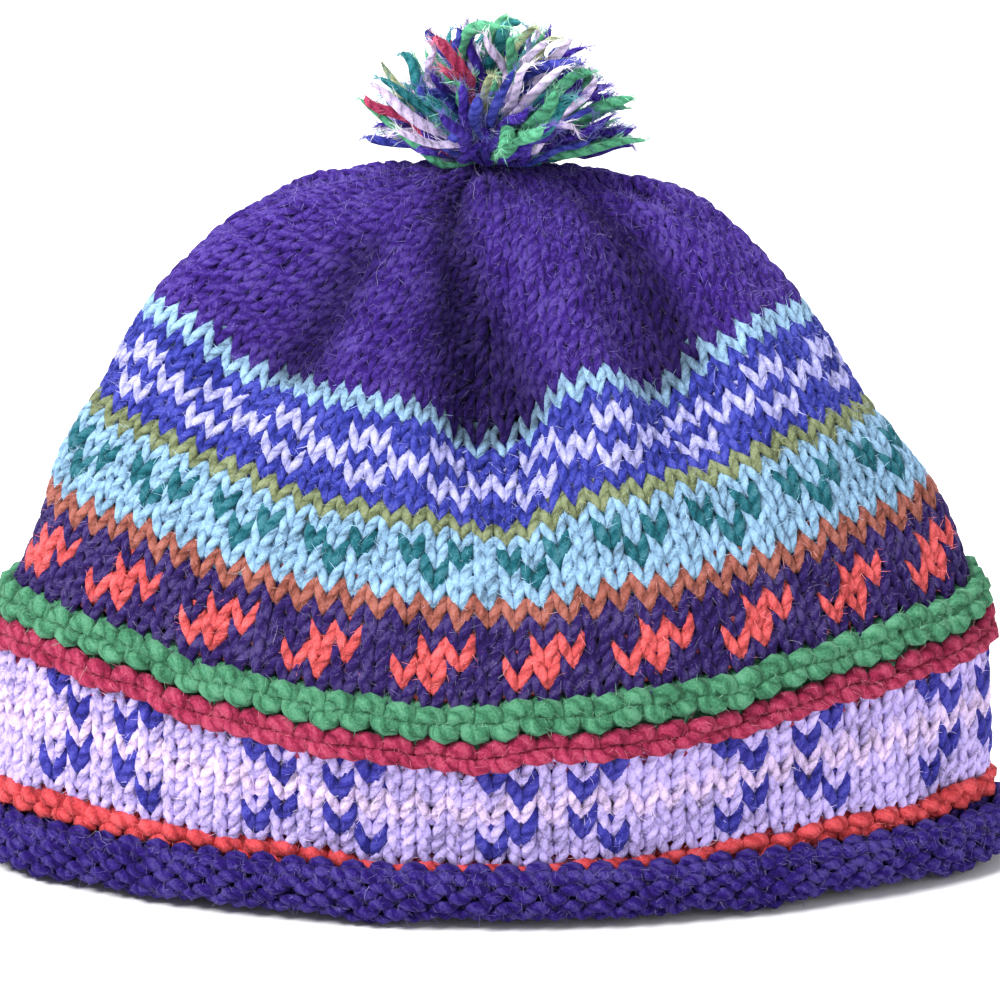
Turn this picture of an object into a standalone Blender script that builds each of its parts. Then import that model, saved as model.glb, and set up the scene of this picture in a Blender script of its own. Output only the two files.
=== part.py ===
"""Knitted beanie with a rolled brim, coloured bands and a pompom. Metres, +Z up, front towards -Y.

The hat stands on its rolled brim by itself. Its fabric is one surface, given by an oval plan and a table
of sections from the brim to the crown, with a table of the dents that the soft crown has sunk into.
Every band is a closed ring of that fabric, as thick as the knitting, and the crown is a closed cap.
"""
import math
from collections import namedtuple

import bmesh
import bpy
import numpy as np
from mathutils import Vector

# The fabric's overall sizes, measured at the middle of the wall. The pinch is the share of its depth
# that the plan loses towards the sides, and the bend is how late the bands dip towards the front
BODY_HALF_WIDTH = 0.1235
BODY_HALF_DEPTH = 0.0630
CROWN_HEIGHT = 0.1750
PLAN_PINCH = 0.32
FRONT_DIP_BEND = 2.8
WALL = 0.0050

# The rolled brim and the garter ridges
ROLL_HEIGHT = 0.0165
FOOT_WIDTH = 0.0050
CORAL_RISE = 0.0010
WELT_RISE = 0.0030

# The pompom: its locks spread to that multiple of their root, and its head is cut flat below its
# middle by the seat's share of the radius
HEAD_RADIUS = 0.0180
LOCK_LENGTH = 0.0150
LOCK_SPREAD = 1.25
SEAT_SHARE = 0.25

# Space between pieces that touch
GAP = 0.0003

# Fineness of the facets
COLUMNS = 56
PLAN_STEPS = 720
SLOPE_STEP = 0.05

# Heights of the knitting: rows of stitches up to the next section, then lengths as shares of
# BODY_HALF_WIDTH (width, lean to +X), BODY_HALF_DEPTH (depth) and CROWN_HEIGHT (the two heights)
Section = namedtuple("Section", "name rows width depth side_height front_height lean")
SECTIONS = [
    Section("coral", 2, 0.995, 0.810, 0.097, 0.058, 0.000),
    Section("lilac", 6, 1.000, 0.825, 0.132, 0.090, 0.000),
    Section("crimson", 2, 0.980, 0.984, 0.323, 0.251, 0.000),
    Section("green", 2, 0.970, 1.000, 0.366, 0.292, 0.000),
    Section("zigzag", 4, 0.945, 0.990, 0.416, 0.336, -0.004),
    Section("rust", 1, 0.882, 0.925, 0.529, 0.446, -0.008),
    Section("sky", 4, 0.865, 0.905, 0.557, 0.475, -0.010),
    Section("olive", 1, 0.773, 0.805, 0.656, 0.583, -0.016),
    Section("royal", 5, 0.751, 0.780, 0.678, 0.606, -0.018),
    Section("turquoise", 1, 0.655, 0.675, 0.791, 0.746, -0.023),
    Section("crown", 6, 0.630, 0.645, 0.816, 0.770, -0.024),
    Section("crown_middle", 6, 0.427, 0.500, 0.946, 0.917, -0.024),
    Section("crown_upper", 5, 0.226, 0.290, 0.984, 0.980, -0.024),
    Section("crown_top", 0, 0.018, 0.034, 1.000, 1.000, -0.024),
]
ROWS = dict(zip([section.name for section in SECTIONS],
                np.cumsum([0] + [section.rows for section in SECTIONS[:-1]], dtype=float)))

# Dents of the soft crown: degrees round from the front towards +X and half that spread, how far in and
# down as shares of BODY_HALF_DEPTH and CROWN_HEIGHT, and the rows where each starts, is full, fades, ends
Dent = namedtuple("Dent", "angle spread inward drop start full fade end")
DENTS = [
    Dent(2.0, 10.0, 0.130, 0.062, 14.0, 29.0, 32.0, 41.0),
    Dent(-23.0, 26.0, 0.070, 0.040, 15.0, 28.0, 31.0, 41.0),
    Dent(-47.0, 9.0, 0.040, 0.018, 22.0, 28.0, 30.0, 36.0),
    Dent(33.0, 10.0, 0.070, 0.042, 20.0, 29.0, 31.0, 38.0),
    Dent(168.0, 20.0, 0.080, 0.036, 18.0, 29.0, 32.0, 41.0),
]

# Bands of fabric: first and last section, facet strips between them, rise of the ridge, colour
Band = namedtuple("Band", "name low high strips rise colour")
BANDS = [
    Band("coral_welt", "coral", "lilac", 2, CORAL_RISE, (0.855, 0.094, 0.051)),
    Band("cross_band", "lilac", "crimson", 4, 0.0, (0.527, 0.423, 0.871)),
    Band("crimson_welt", "crimson", "green", 4, WELT_RISE, (0.552, 0.042, 0.098)),
    Band("green_welt", "green", "zigzag", 4, WELT_RISE, (0.068, 0.392, 0.162)),
    Band("zigzag_band", "zigzag", "rust", 3, 0.0, (0.051, 0.021, 0.202)),
    Band("rust_stripe", "rust", "sky", 1, 0.0, (0.552, 0.162, 0.069)),
    Band("lozenge_band", "sky", "olive", 3, 0.0, (0.434, 0.716, 0.939)),
    Band("olive_stripe", "olive", "royal", 1, 0.0, (0.392, 0.407, 0.156)),
    Band("wave_band", "royal", "turquoise", 4, 0.0, (0.042, 0.042, 0.578)),
    Band("turquoise_stripe", "turquoise", "crown", 1, 0.0, (0.462, 0.847, 0.871)),
]
PURPLE = (0.051, 0.021, 0.202)
POMPOM_GREEN = (0.055, 0.350, 0.210)
WOOL_ROUGHNESS = 0.92

# The crown's rings of facets, as shares of its rows of knitting
CROWN_RINGS = (0.0, 0.12, 0.24, 0.36, 0.50, 0.65, 0.80, 0.91, 1.0)

# The rolled brim's flap from its foot over its top to its crease, then the heel of the wall under it:
# how far in from the flap's outside as shares of WALL, and heights as shares of ROLL_HEIGHT
RollPoint = namedtuple("RollPoint", "inset height")
FLAP = [
    RollPoint(0.08, 0.18),
    RollPoint(0.00, 0.45),
    RollPoint(0.06, 0.78),
    RollPoint(0.35, 0.96),
    RollPoint(0.70, 1.00),
    RollPoint(1.00, 0.96),
]
HEEL_HEIGHTS = (0.06, 0.25)


def oval(angle):
    """Unit plan curve, an ellipse pinched towards its sides: angle 0 is the front, a quarter turn +X."""
    across = np.sin(angle)
    return across, -np.cos(angle) * (1.0 - PLAN_PINCH * across ** 2)


def plan_angle(turn):
    """Plan angle at a share of the way round, measured along the oval so that columns are even."""
    angle = np.linspace(0.0, 2.0 * math.pi, PLAN_STEPS + 1)
    across, along = oval(angle)
    steps = np.hypot(np.diff(across * BODY_HALF_WIDTH), np.diff(along * BODY_HALF_DEPTH))
    travelled = np.concatenate([[0.0], np.cumsum(steps)])
    return np.interp(np.asarray(turn) % 1.0, travelled / travelled[-1], angle)


def smooth_step(value):
    value = np.clip(value, 0.0, 1.0)
    return value * value * (3.0 - 2.0 * value)


def section_at(row):
    """Sizes of the section at a row, on a smooth curve through the table."""
    rows = np.array(list(ROWS.values()))
    sizes = np.array([[section.width * BODY_HALF_WIDTH, section.depth * BODY_HALF_DEPTH,
                       section.side_height * CROWN_HEIGHT, section.front_height * CROWN_HEIGHT,
                       section.lean * BODY_HALF_WIDTH] for section in SECTIONS])
    slopes = np.gradient(sizes, rows, axis=0)
    row = min(max(row, rows[0]), rows[-1])
    below = min(int(np.searchsorted(rows, row, side="right")) - 1, len(rows) - 2)
    span = rows[below + 1] - rows[below]
    t = (row - rows[below]) / span
    return ((1 + 2 * t) * (1 - t) ** 2 * sizes[below] + t * (1 - t) ** 2 * span * slopes[below]
            + t * t * (3 - 2 * t) * sizes[below + 1] + t * t * (t - 1) * span * slopes[below + 1])


def undented(turn, row):
    """The fabric before it sinks in: points at shares of the way round, at one row."""
    width, depth, side_height, front_height, lean = section_at(row)
    angle = plan_angle(turn)
    across, along = oval(angle)
    height = side_height + (front_height - side_height) * np.abs(np.cos(angle)) ** FRONT_DIP_BEND
    return np.stack([lean + width * across, depth * along, height], axis=-1)


def unit(vectors):
    return vectors / np.linalg.norm(vectors, axis=-1, keepdims=True)


def slopes_of(surface, turn, row):
    """Unit directions round and up a surface, and its outward normal."""
    step = SLOPE_STEP / COLUMNS
    top = max(ROWS.values())
    around = unit(surface(turn + step, row) - surface(turn - step, row))
    up = unit(surface(turn, min(row + SLOPE_STEP, top)) - surface(turn, max(row - SLOPE_STEP, 0.0)))
    return around, up, unit(np.cross(around, up))


def fabric(turn, row):
    """The middle of the wall, dents and all."""
    turn = np.asarray(turn, dtype=float)
    points = undented(turn, row)
    outward = slopes_of(undented, turn, row)[2]
    degrees = (np.degrees(plan_angle(turn)) + 180.0) % 360.0 - 180.0
    for dent in DENTS:
        off = (degrees - dent.angle + 180.0) % 360.0 - 180.0
        share = np.exp(-(off / dent.spread) ** 2)
        share = share * smooth_step((row - dent.start) / (dent.full - dent.start))
        share = share * (1.0 - smooth_step((row - dent.fade) / (dent.end - dent.fade)))
        points = points - outward * (share * dent.inward * BODY_HALF_DEPTH)[:, None]
        points[:, 2] -= share * dent.drop * CROWN_HEIGHT
    return points


def turns():
    return np.arange(COLUMNS) / COLUMNS


def loop_at(row, offset, shift=0.0):
    """One loop of points round the hat, offset out of the fabric and shifted up along it."""
    around, up, outward = slopes_of(fabric, turns(), row)
    return fabric(turns(), row) + outward * offset + up * shift


def new_object(name, mesh_builder, colour):
    """Mesh object with faces pointing out, smooth shading and its own wool material."""
    mesh_builder.normal_update()
    bmesh.ops.recalc_face_normals(mesh_builder, faces=mesh_builder.faces)
    mesh = bpy.data.meshes.new(name)
    mesh_builder.to_mesh(mesh)
    mesh_builder.free()
    mesh.shade_smooth()
    mesh.set_sharp_from_angle(angle=math.radians(40.0))
    thing = bpy.data.objects.new(name, mesh)
    bpy.context.scene.collection.objects.link(thing)
    material = bpy.data.materials.new(name)
    material.use_nodes = True
    shader = material.node_tree.nodes["Principled BSDF"]
    shader.inputs["Base Color"].default_value = (*colour, 1.0)
    shader.inputs["Roughness"].default_value = WOOL_ROUGHNESS
    shader.inputs["Metallic"].default_value = 0.0
    mesh.materials.append(material)
    return thing


def add_loops(mesh_builder, loops):
    return [[mesh_builder.verts.new(point) for point in loop] for loop in loops]


def join_loops(mesh_builder, first, second):
    """A strip of facets between two loops, the outer one first where one lies inside the other.

    The diagonals then lean the same way on both sides of a seam, and the gap there stays even.
    """
    for here in range(len(first)):
        after = (here + 1) % len(first)
        mesh_builder.faces.new((first[here], first[after], second[here]))
        mesh_builder.faces.new((first[after], second[after], second[here]))


def ring_body(name, outer, inner, colour):
    """Closed ring between its outer and its inner loops, both listed from the bottom up."""
    mesh_builder = bmesh.new()
    outer = add_loops(mesh_builder, outer)
    inner = add_loops(mesh_builder, inner)
    for loops in (outer, inner):
        for lower, upper in zip(loops, loops[1:]):
            join_loops(mesh_builder, lower, upper)
    for end in (0, -1):
        join_loops(mesh_builder, outer[end], inner[end])
    return new_object(name, mesh_builder, colour)


def band_body(band):
    """Ring of fabric from one section to the next, with a rounded ridge where it has a rise."""
    low, high = ROWS[band.low], ROWS[band.high]
    outer, inner = [], []
    for step in range(band.strips + 1):
        share = step / band.strips
        shift = GAP / 2 if step == 0 else -GAP / 2 if step == band.strips else 0.0
        row = low + (high - low) * share
        ridge = band.rise * math.sin(math.pi * share)
        outer.append(loop_at(row, WALL / 2 + ridge, shift))
        if step in (0, band.strips) or not band.rise:
            inner.append(loop_at(row, -WALL / 2, shift))
    return ring_body(band.name, outer, inner, band.colour)


def flap_clearance(rail, outward):
    """How far the fabric above the brim leans out by the height of the flap's top."""
    rows = ROWS["coral"] + np.arange(5)
    points = np.array([loop_at(row, 0.0) for row in rows])
    reach = ((points - rail) * outward).sum(axis=-1)
    heights = points[:, :, 2]
    lean = [np.interp(ROLL_HEIGHT, heights[:, column], reach[:, column]) for column in range(COLUMNS)]
    return np.maximum(lean, 0.0)[:, None]


def brim_roll():
    """The fabric's edge turned outward and up: a wall under the coral welt, a flat foot, a flap."""
    flat = np.array([1.0, 1.0, 0.0])
    rail = loop_at(ROWS["coral"], 0.0)
    outward = unit(slopes_of(fabric, turns(), ROWS["coral"])[2] * flat)
    flap_inside = WALL / 2 + CORAL_RISE + GAP + flap_clearance(rail, outward)
    flap_outside = flap_inside + WALL
    foot_inside = (flap_outside - WALL / 2 - FOOT_WIDTH) / 2
    crease_drop = GAP + CORAL_RISE

    def level(out, height):
        return rail * flat + outward * out + np.array([0.0, 0.0, height])

    outer = [level(foot_inside, 0.0), level(foot_inside + FOOT_WIDTH, 0.0)]
    outer += [level(flap_outside - point.inset * WALL, point.height * ROLL_HEIGHT) for point in FLAP]
    outer.append(loop_at(ROWS["coral"], 0.0, -crease_drop) + outward * flap_inside)
    outer.append(loop_at(ROWS["coral"], WALL / 2, -GAP / 2))
    inner = [
        level((foot_inside - WALL / 2) / 2, HEEL_HEIGHTS[0] * ROLL_HEIGHT),
        level(-WALL / 2, HEEL_HEIGHTS[1] * ROLL_HEIGHT),
        loop_at(ROWS["coral"], -WALL / 2, -GAP / 2),
    ]
    return ring_body("brim_roll", outer, inner, PURPLE)


def crown_top(offset):
    """Point over the middle of the crown's top, offset from the wall's middle."""
    return fabric(turns(), ROWS["crown_top"]).mean(axis=0) + np.array([0.0, 0.0, offset])


def crown_body():
    """Closed cap of fabric over the turquoise stripe."""
    mesh_builder = bmesh.new()
    low, high = ROWS["crown"], ROWS["crown_top"]
    sides = []
    for offset in (WALL / 2, -WALL / 2):
        loops = [loop_at(low, offset, GAP / 2)]
        loops += [loop_at(low + (high - low) * share, offset) for share in CROWN_RINGS[1:]]
        vertices = add_loops(mesh_builder, loops)
        for lower, upper in zip(vertices, vertices[1:]):
            join_loops(mesh_builder, lower, upper)
        middle = mesh_builder.verts.new(crown_top(offset))
        last = vertices[-1]
        for here in range(COLUMNS):
            mesh_builder.faces.new((last[here], last[(here + 1) % COLUMNS], middle))
        sides.append(vertices[0])
    join_loops(mesh_builder, sides[0], sides[1])
    return new_object("crown", mesh_builder, PURPLE)


def pompom():
    """Half ball of yarn on the crown: a head with a spreading lock drawn out of each upper facet."""
    seat_drop = SEAT_SHARE * HEAD_RADIUS
    mesh_builder = bmesh.new()
    bmesh.ops.create_icosphere(mesh_builder, subdivisions=2, radius=HEAD_RADIUS)
    locks = [face for face in mesh_builder.faces if face.calc_center_median().z > -seat_drop / 2]
    locks = bmesh.ops.extrude_discrete_faces(mesh_builder, faces=locks)["faces"]
    for number, face in enumerate(locks):
        middle = face.calc_center_median()
        reach = LOCK_LENGTH * (1.0 + 0.25 * math.sin(2.4 * number))
        outward = Vector((middle.x, middle.y, max(middle.z, 0.0))).normalized()
        for vertex in face.verts:
            vertex.co = middle + (vertex.co - middle) * LOCK_SPREAD + outward * reach
    for vertex in mesh_builder.verts:
        vertex.co.z = max(vertex.co.z, -seat_drop)
    thing = new_object("pompom", mesh_builder, POMPOM_GREEN)
    thing.location = crown_top(WALL / 2 + GAP + seat_drop)
    return thing


def build():
    for thing in list(bpy.data.objects):
        bpy.data.objects.remove(thing, do_unlink=True)
    brim_roll()
    for band in BANDS:
        band_body(band)
    crown_body()
    pompom()


build()
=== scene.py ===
"""Looks of the knitted beanie: every stitch, the pompom's cut yarn, loose fibres, wool, floor and light."""

import math
from collections import namedtuple

import bpy
import numpy as np
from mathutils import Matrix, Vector


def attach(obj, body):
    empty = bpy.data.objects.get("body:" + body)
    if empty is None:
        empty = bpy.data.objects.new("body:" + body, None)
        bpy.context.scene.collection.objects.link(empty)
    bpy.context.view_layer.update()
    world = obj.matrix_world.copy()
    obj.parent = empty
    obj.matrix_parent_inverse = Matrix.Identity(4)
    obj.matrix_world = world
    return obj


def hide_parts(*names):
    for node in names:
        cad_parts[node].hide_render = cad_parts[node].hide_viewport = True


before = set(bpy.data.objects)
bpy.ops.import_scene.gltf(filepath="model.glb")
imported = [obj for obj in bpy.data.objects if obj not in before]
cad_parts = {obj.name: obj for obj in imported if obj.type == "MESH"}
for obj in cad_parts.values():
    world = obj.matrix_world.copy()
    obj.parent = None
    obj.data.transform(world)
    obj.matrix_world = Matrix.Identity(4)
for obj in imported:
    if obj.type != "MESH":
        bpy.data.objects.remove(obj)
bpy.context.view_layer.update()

# The fabric, as in the solids: the middle of the wall, in metres and in shares of these sizes
BODY_HALF_WIDTH = 0.1235
BODY_HALF_DEPTH = 0.0630
CROWN_HEIGHT = 0.1750
PLAN_PINCH = 0.32
FRONT_DIP_BEND = 2.8
WALL = 0.0050
ROLL_HEIGHT = 0.0165
CORAL_RISE = 0.0010
WELT_RISE = 0.0030
GAP = 0.0003
PLAN_STEPS = 1440
SLOPE_STEP = 0.05

Section = namedtuple("Section", "name rows width depth side_height front_height lean")
SECTIONS = [
    Section("coral", 2, 0.995, 0.810, 0.097, 0.058, 0.000),
    Section("lilac", 6, 1.000, 0.825, 0.132, 0.090, 0.000),
    Section("crimson", 2, 0.980, 0.984, 0.323, 0.251, 0.000),
    Section("green", 2, 0.970, 1.000, 0.366, 0.292, 0.000),
    Section("zigzag", 4, 0.945, 0.990, 0.416, 0.336, -0.004),
    Section("rust", 1, 0.882, 0.925, 0.529, 0.446, -0.008),
    Section("sky", 4, 0.865, 0.905, 0.557, 0.475, -0.010),
    Section("olive", 1, 0.773, 0.805, 0.656, 0.583, -0.016),
    Section("royal", 5, 0.751, 0.780, 0.678, 0.606, -0.018),
    Section("turquoise", 1, 0.655, 0.675, 0.791, 0.746, -0.023),
    Section("crown", 6, 0.630, 0.645, 0.816, 0.770, -0.024),
    Section("crown_middle", 6, 0.427, 0.500, 0.946, 0.917, -0.024),
    Section("crown_upper", 5, 0.226, 0.290, 0.984, 0.980, -0.024),
    Section("crown_top", 0, 0.018, 0.034, 1.000, 1.000, -0.024),
]
ROWS = dict(zip([section.name for section in SECTIONS],
                np.cumsum([0] + [section.rows for section in SECTIONS[:-1]])))
TOP_ROW = float(max(ROWS.values()))

Dent = namedtuple("Dent", "angle spread inward drop start full fade end")
DENTS = [
    Dent(2.0, 10.0, 0.130, 0.062, 14.0, 29.0, 32.0, 41.0),
    Dent(-23.0, 26.0, 0.070, 0.040, 15.0, 28.0, 31.0, 41.0),
    Dent(-47.0, 9.0, 0.040, 0.018, 22.0, 28.0, 30.0, 36.0),
    Dent(33.0, 10.0, 0.070, 0.042, 20.0, 29.0, 31.0, 38.0),
    Dent(168.0, 20.0, 0.080, 0.036, 18.0, 29.0, 32.0, 41.0),
]

# The photograph's viewing angle, and the width that the view takes in at the hat
VIEW_HEIGHT = math.radians(15.0)
VIEW_DISTANCE = 1.2
VIEW_WIDTH = 0.247

# The knitting: stitches round the body, wedges of the crown and stitches across each, rows of the roll and
# their pitch, where the cast-on edge lies in rows, a usual stitch's width, and how finely yarn is drawn,
# along each stitch and round the yarn
STITCHES = 80
WEDGES = 8
WEDGE_STITCHES = 10
ROLL_ROWS = 6
ROLL_PITCH = 0.0042
EDGE_ROW = -5.66
USUAL_STITCH = 0.0065
SAMPLES = 14
SIDES = 6

# How the yarn lies in a row: its radius, how far loops reach up and down in rows, how far their feet and
# heads spread in stitches, and how far their legs stand out
Style = namedtuple("Style", "radius reach foot_spread head_spread leg")
PLAIN = Style(0.00154, 0.95, 0.26, 0.26, 0.0010)
STRAINED = Style(0.00142, 0.98, 0.24, 0.24, 0.0011)
RIDGE_BELOW = Style(0.00200, 1.00, 0.27, 0.22, -0.0012)
RIDGE_ABOVE = Style(0.00195, 1.00, 0.23, 0.27, -0.0012)
CRIMSON_BELOW = Style(0.00192, 1.00, 0.26, 0.22, -0.0014)
CRIMSON_ABOVE = Style(0.00160, 0.95, 0.36, 0.27, -0.0010)
ROLLED = Style(0.00152, 0.78, 0.20, 0.20, 0.0012)

# How flat the yarn lies, and how much thicker it is in the crown and in the marks of two patterns
FLATNESS = 0.80
CROWN_FULLER = 1.07
FULLER = {"blue": 1.28, "teal": 1.28}

# How far the yarn stands off the fabric's middle where a row's feet cross the heads below them
SEAM_DEPTH = 0.0010
SEAM_DEPTH_PURLED = 0.0018
SEAM_DEPTH_OVER_PURL = 0.0020

# How far, in rows, the loops of purl rows and of their neighbours reach
PURL_REACH_UP = 0.30
PURL_REACH_DOWN = 0.92
REACH_UP_UNDER_PURL = 1.15
REACH_DOWN_OVER_PURL = 1.10

# Hand knitting is uneven: spreads of a loop's place in stitches, of its reach and its thickness as
# shares, and of its depth in metres
UNEVEN_ACROSS = 0.045
UNEVEN_REACH = 0.07
UNEVEN_RADIUS = 0.06
UNEVEN_DEPTH = 0.00012

# Yarn is thicker where a loop turns than along its legs, and thinner where stitches are narrow. Loops in
# a ridge turn inward sooner, which the last power says
TURN_SWELL = 0.12
WIDTH_POWER = 0.7
RIDGE_DIVE_POWER = 0.7

# Yarn of the cast-on edge
EDGE_RADIUS = 0.0017
EDGE_SWELL = 0.10
EDGE_DEPTH = 0.0015
EDGE_DEPTH_SWAY = 0.0004
EDGE_ROW_SWAY = 0.05

# Seeds of the dice that the pieces draw their unevenness from
BRIM_SEED = 90
CROWN_SEED = 95
BAND_SEED = 100
POMPOM_SEED = 7

# Slow waves of the whole fabric, out of the wall and up it: how many go round the hat, how far they turn
# with each row, their size in metres and their phase. Over the first rows those upward are calmer
Wave = namedtuple("Wave", "count per_row size phase")
UNEVEN_OUT = (
    Wave(3, 0.21, 0.0005, 0.3),
    Wave(7, -0.33, 0.0004, 1.7),
    Wave(13, 0.57, 0.0004, 4.1),
    Wave(23, -0.8, 0.0003, 2.6),
)
UNEVEN_UP = (
    Wave(4, 0.11, 0.0004, 5.0),
    Wave(9, -0.17, 0.0004, 0.9),
    Wave(17, 0.27, 0.0004, 3.3),
    Wave(29, -0.3, 0.0003, 1.2),
)
CALM_ROWS = 2.0

# Soft folds of the crown: rows and plan angles of their lower and upper ends, spread in degrees before
# and after the deepest line, depth, and how much painted shade darkens the wool in them
Fold = namedtuple("Fold", "low high low_angle high_angle before after depth shade")
FOLDS = (
    Fold(20.0, 46.0, 15.0, -19.0, 14.0, 8.0, 0.0068, 1.0),
    Fold(20.0, 42.0, 33.0, 52.0, 10.0, 7.0, 0.0056, 1.0),
    Fold(24.0, 38.0, -38.0, -34.0, 10.0, 6.5, 0.0044, 1.0),
    Fold(24.0, 42.0, -62.0, -50.0, 8.0, 8.0, 0.0014, 0.15),
    Fold(25.0, 42.0, 66.0, 72.0, 9.0, 9.0, 0.0014, 0.15),
    # The last fold has no depth, only painted shade over the crown's front middle
    Fold(18.0, 46.0, 0.0, -2.0, 32.0, 32.0, 0.0, 0.22),
)

# The folds fade in and out over this share of their height. Their wool is darkened this much by painted
# shade, from the turquoise stripe up
FOLD_FADE_SHARE = 0.25
FOLD_PAINTED_SHADE = 0.66
SHADE_START_ROW = 26.9
SHADE_START_ROWS = 0.9

# Yarn colours, as sRGB. The rolled brim's purple is painted darker and the crown's painted brighter:
# painted shade and painted light on one purple yarn. The pompom's strands come last, the same yarns
# painted brighter against the pompom's own shade
YARNS = {
    # The rolled brim's purple, painted darker as painted shade
    "purple": "281665",
    "coral": "b83d42",
    "lilac": "b1a1da",
    "pink": "c8b2d9",
    "blue": "32308c",
    "crimson": "902746",
    "green": "3c7556",
    "motif": "c04c4e",
    "rust": "894d42",
    "sky": "7b9ebb",
    "teal": "1b5965",
    "olive": "6c7554",
    "royal": "2e348e",
    "pearl": "a09fd6",
    "turquoise": "85a7c5",
    "plum": "2a1a55",
    # The crown's purple, painted brighter as painted light
    "violet": "381f77",
    # The pompom's yarns, painted brighter as painted light against the pompom's own shade
    "tuft_purple": "361f85",
    "tuft_royal": "2d338b",
    "tuft_green": "4a9570",
    "tuft_teal": "24747a",
    "tuft_pearl": "aaa9e4",
    "tuft_crimson": "a53458",
    "tuft_olive": "8e9772",
    "tuft_pink": "cfbde1",
}


def smooth_step(value):
    value = np.clip(value, 0.0, 1.0)
    return value * value * (3.0 - 2.0 * value)


def unit(vectors):
    return vectors / np.maximum(np.linalg.norm(vectors, axis=-1, keepdims=True), 1e-12)


def oval(angle):
    """Unit plan curve, an ellipse pinched towards its sides: angle 0 is the front, a quarter turn +X."""
    across = np.sin(angle)
    return across, -np.cos(angle) * (1.0 - PLAN_PINCH * across ** 2)


def plan_table():
    """Plan angles and the shares of the way round at which they lie."""
    angle = np.linspace(0.0, 2.0 * math.pi, PLAN_STEPS + 1)
    across, along = oval(angle)
    steps = np.hypot(np.diff(across * BODY_HALF_WIDTH), np.diff(along * BODY_HALF_DEPTH))
    travelled = np.concatenate([[0.0], np.cumsum(steps)])
    return travelled / travelled[-1], angle


PLAN_SHARES, PLAN_ANGLES = plan_table()


def plan_angle(turn):
    return np.interp(np.asarray(turn) % 1.0, PLAN_SHARES, PLAN_ANGLES)


def section_at(row):
    """Sizes of the sections at an array of rows, on a smooth curve through the table."""
    rows = np.array(list(ROWS.values()), dtype=float)
    sizes = np.array([[section.width * BODY_HALF_WIDTH, section.depth * BODY_HALF_DEPTH,
                       section.side_height * CROWN_HEIGHT, section.front_height * CROWN_HEIGHT,
                       section.lean * BODY_HALF_WIDTH] for section in SECTIONS])
    slopes = np.gradient(sizes, rows, axis=0)
    row = np.clip(row, rows[0], rows[-1])
    below = np.minimum(np.searchsorted(rows, row, side="right") - 1, len(rows) - 2)
    span = (rows[below + 1] - rows[below])[..., None]
    t = (row - rows[below])[..., None] / span
    return ((1 + 2 * t) * (1 - t) ** 2 * sizes[below] + t * (1 - t) ** 2 * span * slopes[below]
            + t * t * (3 - 2 * t) * sizes[below + 1] + t * t * (t - 1) * span * slopes[below + 1])


def undented(turn, row):
    width, depth, side_height, front_height, lean = np.moveaxis(section_at(row), -1, 0)
    angle = plan_angle(turn)
    across, along = oval(angle)
    height = side_height + (front_height - side_height) * np.abs(np.cos(angle)) ** FRONT_DIP_BEND
    return np.stack([lean + width * across, depth * along, height], axis=-1)


def outward_of(surface, turn, row):
    """Outward normal of a surface given by shares of the way round and rows."""
    step = SLOPE_STEP / STITCHES
    around = surface(turn + step, row) - surface(turn - step, row)
    up = surface(turn, np.minimum(row + SLOPE_STEP, TOP_ROW)) - surface(turn, row - SLOPE_STEP)
    return unit(np.cross(around, up))


def fabric(turn, row):
    """The middle of the wall above the brim, dents and all."""
    row = np.clip(row, 0.0, TOP_ROW)
    points = undented(turn, row)
    outward = outward_of(undented, turn, np.maximum(row, SLOPE_STEP))
    degrees = (np.degrees(plan_angle(turn)) + 180.0) % 360.0 - 180.0
    for dent in DENTS:
        off = (degrees - dent.angle + 180.0) % 360.0 - 180.0
        share = np.exp(-(off / dent.spread) ** 2)
        share = share * smooth_step((row - dent.start) / (dent.full - dent.start))
        share = share * (1.0 - smooth_step((row - dent.fade) / (dent.end - dent.fade)))
        points = points - outward * (share * dent.inward * BODY_HALF_DEPTH)[..., None]
        points[..., 2] -= share * dent.drop * CROWN_HEIGHT
    return points


def ridge(row):
    """How far the garter ridges stand out of the wall at each row."""
    rise = np.zeros_like(row)
    for low, high, height in (("coral", "lilac", CORAL_RISE), ("crimson", "green", WELT_RISE),
                              ("green", "zigzag", WELT_RISE)):
        share = (row - ROWS[low]) / (ROWS[high] - ROWS[low])
        rise = rise + height * np.sin(math.pi * np.clip(share, 0.0, 1.0))
    return rise


# The rolled brim: radius of the curl at its upper edge, how far round it goes, waves of the lower edge,
# each by how often it goes round the hat and its phase, and the least gap under them
LIP_RADIUS = 0.0017
LIP_TURN = 1.4
WAVE_HEIGHT = 0.0013
WAVES = ((7, 0.4), (12, 2.1), (19, 4.0))
FLOOR_GAP = 0.0009


def rail_table():
    """Points and outward directions of the fabric where the brim starts, and its lean above them."""
    turn = np.linspace(0.0, 1.0, PLAN_STEPS // 4 + 1)
    rail = fabric(turn, np.zeros_like(turn))
    flat = np.array([1.0, 1.0, 0.0])
    outward = unit(outward_of(fabric, turn, np.full_like(turn, 2 * SLOPE_STEP)) * flat)
    rows = np.arange(5.0)
    points = np.array([fabric(turn, np.full_like(turn, row)) for row in rows])
    reach = ((points - rail) * outward).sum(axis=-1)
    lean = [np.interp(ROLL_HEIGHT, points[:, k, 2], reach[:, k]) for k in range(len(turn))]
    return turn, rail, outward, np.maximum(lean, 0.0)


RAIL_TURN, RAIL, RAIL_OUTWARD, RAIL_LEAN = rail_table()


def at_rail(turn, table):
    turn = np.asarray(turn) % 1.0
    if table.ndim == 1:
        return np.interp(turn, RAIL_TURN, table)
    return np.stack([np.interp(turn, RAIL_TURN, table[:, axis]) for axis in range(3)], axis=-1)


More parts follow.
